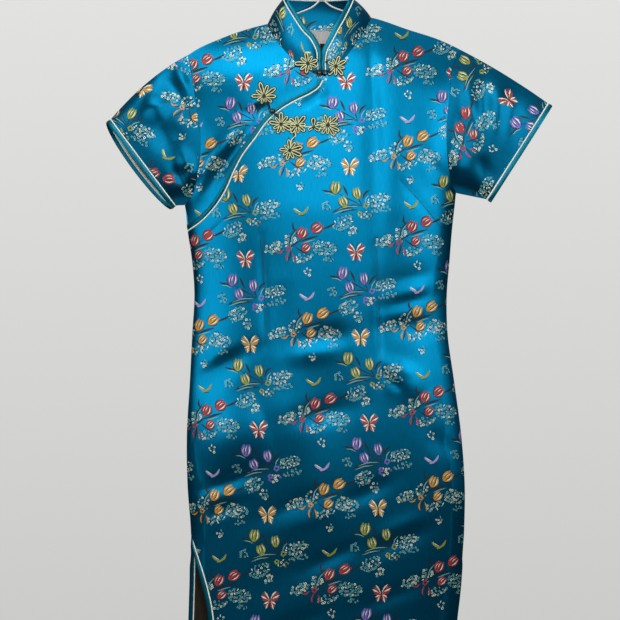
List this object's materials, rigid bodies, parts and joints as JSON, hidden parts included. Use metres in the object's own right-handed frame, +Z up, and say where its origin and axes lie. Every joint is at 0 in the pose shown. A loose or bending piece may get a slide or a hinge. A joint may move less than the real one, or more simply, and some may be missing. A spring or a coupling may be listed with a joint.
{
  "type": "cheongsam dress on wire hanger",
  "caption": "Short-sleeved knee-length satin cheongsam with a stand collar, diagonal piped opening, rosette frogs and side slits, hanging on a bent wire hanger.",
  "frame": {"origin": "inside top of the hanger's hook, where a rail or wall hook carries it", "axes": "+Z up along the hanging dress, +Y towards its back, +X towards the viewer's right, which is the wearer's left"},
  "size_m": [0.6469, 0.0721, 1.1018],
  "materials": {
    "satin_brocade": "glossy turquoise satin with woven flowers",
    "teal_binding": "satin bias binding",
    "cream_piping": "satin covered cord",
    "lining": "plain brown lining",
    "frog_cord": "gold cored teal cord",
    "label_ribbon": "bare white ribbon",
    "hanger_wire": "white coated steel wire"
  },
  "bodies": {
    "root": {"front": "satin_brocade", "underlap": "satin_brocade", "back": "satin_brocade", "sleeve_left": "satin_brocade", "sleeve_right": "satin_brocade", "collar": "satin_brocade", "lining_back": "lining", "lining_sleeve_left": "lining", "lining_sleeve_right": "lining", "piping_collar": "cream_piping", "piping_opening": "cream_piping", "piping_cuff_left": "cream_piping", "piping_cuff_right": "cream_piping", "piping_slit_front_left": "cream_piping", "piping_slit_front_right": "cream_piping", "piping_slit_back_left": "cream_piping", "piping_slit_back_right": "cream_piping", "binding_collar": "teal_binding", "binding_opening": "teal_binding", "binding_cuff_left": "teal_binding", "binding_cuff_right": "teal_binding", "binding_slit_front_left": "teal_binding", "binding_slit_front_right": "teal_binding", "binding_slit_back_left": "teal_binding", "binding_slit_back_right": "teal_binding", "frog_neck_left": "frog_cord", "frog_neck_right": "frog_cord", "frog_chest_upper": "frog_cord", "frog_chest_a": "frog_cord", "frog_chest_b": "frog_cord", "frog_chest_c": "frog_cord", "frog_chest_d": "frog_cord", "frog_chest_e": "frog_cord", "frog_loop_upper": "frog_cord", "frog_loop_lower": "frog_cord", "frog_link_e": "frog_cord", "knot_neck": "frog_cord", "knot_chest": "frog_cord", "label": "label_ribbon", "label_tab": "label_ribbon", "hanger": "hanger_wire"}
  },
  "joints": []
}
